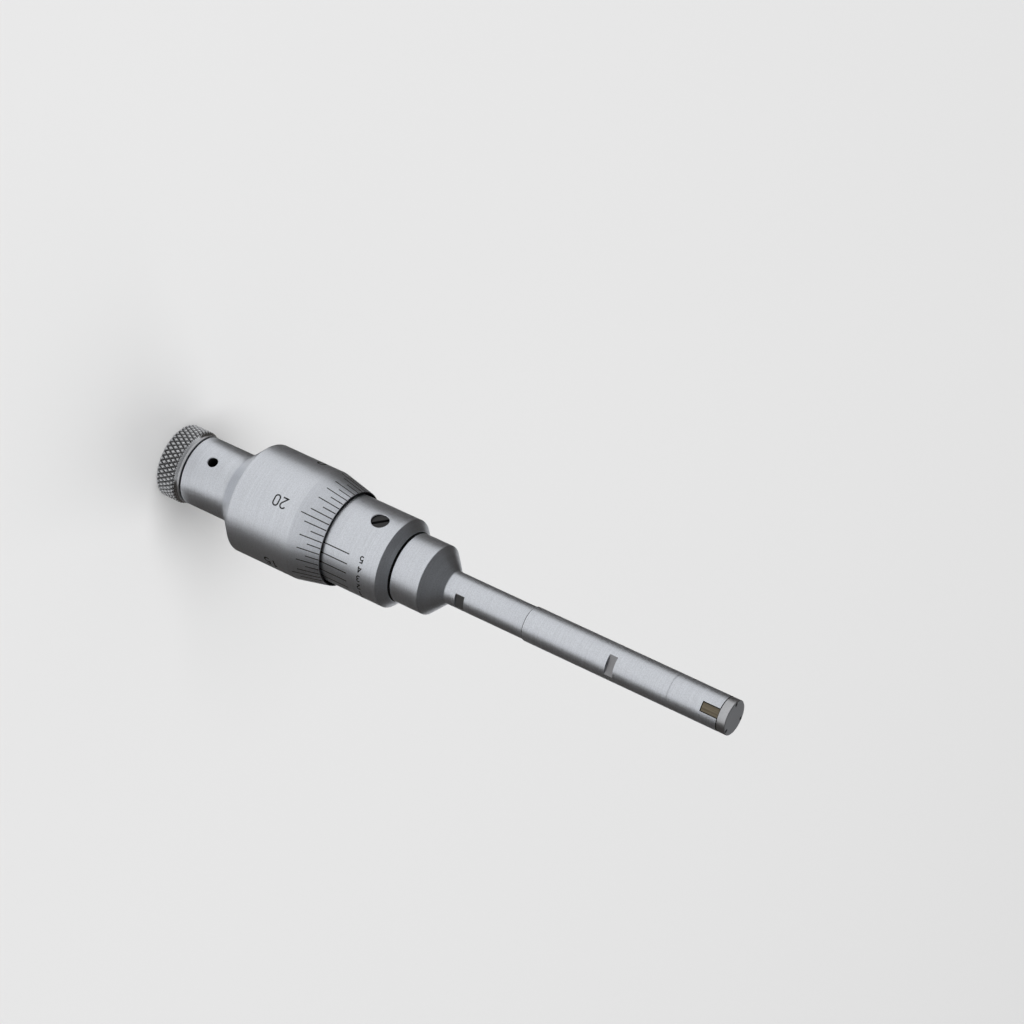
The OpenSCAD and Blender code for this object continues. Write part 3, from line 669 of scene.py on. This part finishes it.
# Each digit is drawn with lines and arcs in a box that is 0.6 wide and 1 high.
digitPaths = {
    "0": [(np.vstack([
        arc((0.3, 0.72), (0.24, 0.24), 0, 180), arc((0.3, 0.28), (0.24, 0.24), 180, 360),
    ]), True)],
    "1": [(np.array([[0.14, 0.78], [0.34, 0.96], [0.34, 0.04]]), False)],
    "2": [(np.vstack([arc((0.3, 0.7), (0.25, 0.26), 160, -35, 13), [[0.06, 0.05], [0.56, 0.05]]]), False)],
    "3": [(np.vstack([
        arc((0.28, 0.72), (0.24, 0.24), 140, -80, 13), arc((0.28, 0.27), (0.27, 0.24), 80, -140, 13),
    ]), False)],
    "4": [(np.array([[0.44, 0.04], [0.44, 0.96], [0.04, 0.3], [0.58, 0.3]]), False)],
    "5": [(np.vstack([
        [[0.52, 0.95], [0.12, 0.95], [0.08, 0.52]], arc((0.28, 0.32), (0.26, 0.28), 120, -140, 15),
    ]), False)],
}


def digitRibbons(digit, height, stroke, station, angle, radius, middle):
    # The text runs towards the knob and its top points to smaller angles.
    made = []

    def toSurface(flat, level):
        return place(station - flat[:, 0], radius + level, angle - np.degrees(flat[:, 1] / radius))

    for path, closed in digitPaths[digit]:
        flat = (path - [0.3, 0.5]) * height + [middle, 0]
        made.append(ribbon(flat, stroke, closed, toSurface))
    return made


thimbleScale = {
    "divisions": 50, "labelEvery": 10, "zeroAngle": 34.2, "end": 38.72,
    "long": 32.2, "medium": 33.7, "short": 35.7, "width": 0.22,
    "labelStation": 26.9, "labelHeight": 2.5, "labelStroke": 0.31, "spacing": 1.85,
}


def coneRadius(stations):
    # The bevel's radius falls evenly from the drum to the edge.
    share = (stations - thimble["drumEnd"]) / (thimble["edge"] - thimble["drumEnd"])
    return thimble["drum"] + (thimble["lip"] - thimble["drum"]) * share


def thimbleRibbons():
    made = []
    for k in range(thimbleScale["divisions"]):
        angle = thimbleScale["zeroAngle"] + 360.0 / thimbleScale["divisions"] * k
        kind = "medium" if k % 2 else "short"
        start = thimbleScale["long"] if k % thimbleScale["labelEvery"] == 0 else thimbleScale[kind]

        def toSurface(flat, level, angle=angle):
            radius = coneRadius(flat[:, 0])
            return place(flat[:, 0], radius + level, angle + np.degrees(flat[:, 1] / radius))

        middle = (start + thimbleScale["end"]) / 2
        path = np.array([[start, 0.0], [middle, 0.0], [thimbleScale["end"], 0.0]])
        made.append(ribbon(path, thimbleScale["width"], False, toSurface))
        if k % thimbleScale["labelEvery"] == 0:
            text = str(k // 2)
            for order, digit in enumerate(text):
                middle = (order - (len(text) - 1) / 2) * thimbleScale["spacing"]
                made += digitRibbons(
                    digit, thimbleScale["labelHeight"], thimbleScale["labelStroke"],
                    thimbleScale["labelStation"], angle, thimble["drum"], middle,
                )
    return made


gather("thimbleScale", thimbleRibbons(), "thimble")

vernier = {
    "count": 6, "step": 12.96, "zeroAngle": -123.8, "start": 38.2, "end": 45.2, "width": 0.24,
    "labelStation": 48.3, "labelHeight": 1.5, "labelStroke": 0.25,
}


def vernierRibbons():
    made = []
    for k in range(vernier["count"]):
        angle = vernier["zeroAngle"] + vernier["step"] * k

        def toSurface(flat, level, angle=angle):
            lean = np.degrees(flat[:, 1] / sleeve["outer"])
            return place(flat[:, 0], sleeve["outer"] + level, angle + lean)

        path = np.array([[vernier["start"], 0.0], [vernier["end"], 0.0]])
        made.append(ribbon(path, vernier["width"], False, toSurface))
        made += digitRibbons(
            str(k), vernier["labelHeight"], vernier["labelStroke"],
            vernier["labelStation"], angle, sleeve["outer"], 0,
        )
    return made


gather("vernierScale", vernierRibbons(), "barrel")
print("scales: lines and digits ready")

floor = {"half": 4.0, "color": (0.8, 0.8, 0.8), "roughness": 0.85}
floorCorners = np.array([[-1, -1, 0], [1, -1, 0], [1, 1, 0], [-1, 1, 0]]) * floor["half"]
floorPlane = makeObject("floorPlane", floorCorners, [[0, 1, 2, 3]], 30)
floorPlane.data.materials.append(makePaint("floorPaint", {**floor, "specular": 0.2}))

# Dull coved sheets on the far side are hidden from the camera, from diffuse light and from shadows and are
# seen only in the metal: a painted dark reflection that darkens the flanks of the round pieces.
sheets = {
    "spans": [(52.0, 114.0), (162.0, 256.0)], "inner": 14.0, "outer": 700.0, "low": 0.3, "high": 620.0,
    "columns": 48, "color": (0.055, 0.05, 0.046), "roughness": 0.9, "specular": 0.1,
}
sheetRadii = np.array([sheets["inner"], sheets["outer"], sheets["outer"]])[:, None]
sheetLevels = np.array([sheets["low"], sheets["low"], sheets["high"]])[:, None] - jointHeight / mm
sheetFaces = gridFaces(len(sheetRadii), sheets["columns"], False, False).reshape(-1, 4).tolist()
flankReflectionPaint = makePaint("flankReflectionPaint", sheets)
for start, end in sheets["spans"]:
    sheetPoints = place(sheetLevels, sheetRadii, np.linspace(start, end, sheets["columns"])[None, :])
    flankReflectionSheet = makeObject("flankReflectionSheet", sheetPoints, sheetFaces, 30)
    flankReflectionSheet.data.materials.append(flankReflectionPaint)
    flankReflectionSheet.visible_camera = False
    flankReflectionSheet.visible_diffuse = False
    flankReflectionSheet.visible_transmission = False
    flankReflectionSheet.visible_shadow = False

view = {
    "position": (-474.23, -431.57, 380.1), "azimuth": -46.0008, "elevation": 25.3569, "roll": -114.2413,
    "lens": 122.24, "sensor": 36.0, "clipStart": 0.05, "clipEnd": 20.0,
}


def aimCamera(camera, eye):
    # The camera looks along its azimuth and elevation, then rolls about that line.
    turn, tilt, roll = (math.radians(eye[key]) for key in ("azimuth", "elevation", "roll"))
    forward = Vector((-math.sin(turn) * math.cos(tilt), math.cos(turn) * math.cos(tilt), -math.sin(tilt)))
    level = forward.cross(Vector((0, 0, 1))).normalized()
    right = math.cos(roll) * level + math.sin(roll) * forward.cross(level)
    up = right.cross(forward)
    camera.matrix_world = Matrix.LocRotScale(
        Vector(eye["position"]) * mm, Matrix((right, up, -forward)).transposed(), None
    )


cameraData = bpy.data.cameras.new("photoCamera")
cameraData.lens = view["lens"]
cameraData.sensor_width = view["sensor"]
cameraData.clip_start = view["clipStart"]
cameraData.clip_end = view["clipEnd"]
camera = bpy.data.objects.new("photoCamera", cameraData)
bpy.context.scene.collection.objects.link(camera)
aimCamera(camera, view)
bpy.context.scene.camera = camera
print("camera: in place")

lampList = [
    {"name": "keyLamp", "azimuth": -60.0, "elevation": 65.0, "distance": 3.2, "size": 1.6, "power": 56.0},
    {"name": "backLamp", "azimuth": 130.0, "elevation": 62.0, "distance": 3.2, "size": 1.9, "power": 27.0},
]
lampTarget = Vector((0, 0, 0.06))
for lamp in lampList:
    data = bpy.data.lights.new(lamp["name"], "AREA")
    data.shape = "DISK"
    data.size = lamp["size"]
    data.energy = lamp["power"]
    light = bpy.data.objects.new(lamp["name"], data)
    bpy.context.scene.collection.objects.link(light)
    light.visible_glossy = False
    turn, tilt = math.radians(lamp["azimuth"]), math.radians(lamp["elevation"])
    back = Vector((math.sin(turn) * math.cos(tilt), -math.cos(turn) * math.cos(tilt), math.sin(tilt)))
    light.matrix_world = Matrix.LocRotScale(
        lampTarget + back * lamp["distance"], (-back).to_track_quat("-Z", "Y"), None
    )

# The sky that is seen and mirrored is pale at the horizon, dim higher up and lighter overhead.
backdrop = {
    "seen": (0.97, 0.98, 1.0),
    "levels": [(0.0, 0.72), (0.1, 0.66), (0.26, 0.24), (0.75, 0.08), (0.94, 0.08), (1.0, 0.4)],
    "light": (1.0, 1.0, 1.0), "lightStrength": 0.35,
}
world = bpy.data.worlds.new("studio")
bpy.context.scene.world = world
world.use_nodes = True
worldTree = world.node_tree
worldTree.nodes.clear()
output = worldTree.nodes.new("ShaderNodeOutputWorld")
mix = worldTree.nodes.new("ShaderNodeMixShader")
lightSide = addNode(
    worldTree, "ShaderNodeBackground", Color=(*backdrop["light"], 1), Strength=backdrop["lightStrength"]
)
seenSide = addNode(worldTree, "ShaderNodeBackground", Color=(*backdrop["seen"], 1))
skyPlace = worldTree.nodes.new("ShaderNodeTexCoord")
split = worldTree.nodes.new("ShaderNodeSeparateXYZ")
fade = worldTree.nodes.new("ShaderNodeValToRGB")
steps = fade.color_ramp.elements
for height, level in backdrop["levels"][1:-1]:
    steps.new(height).color = (level, level, level, 1)
steps[0].color = (*[backdrop["levels"][0][1]] * 3, 1)
steps[len(steps) - 1].color = (*[backdrop["levels"][-1][1]] * 3, 1)
worldTree.links.new(skyPlace.outputs["Generated"], split.inputs["Vector"])
worldTree.links.new(split.outputs["Z"], fade.inputs["Fac"])
worldTree.links.new(fade.outputs["Color"], seenSide.inputs["Strength"])
rays = worldTree.nodes.new("ShaderNodeLightPath")
cameraOrGlossy = worldTree.nodes.new("ShaderNodeMath")
cameraOrGlossy.operation = "MAXIMUM"
anySeen = worldTree.nodes.new("ShaderNodeMath")
anySeen.operation = "MAXIMUM"
worldTree.links.new(rays.outputs["Is Camera Ray"], cameraOrGlossy.inputs[0])
worldTree.links.new(rays.outputs["Is Glossy Ray"], cameraOrGlossy.inputs[1])
worldTree.links.new(cameraOrGlossy.outputs[0], anySeen.inputs[0])
worldTree.links.new(rays.outputs["Is Transmission Ray"], anySeen.inputs[1])
worldTree.links.new(anySeen.outputs[0], mix.inputs[0])
worldTree.links.new(lightSide.outputs[0], mix.inputs[1])
worldTree.links.new(seenSide.outputs[0], mix.inputs[2])
worldTree.links.new(mix.outputs[0], output.inputs["Surface"])
bpy.context.scene.view_settings.view_transform = "Standard"
print("studio: lamps", len(lampList))
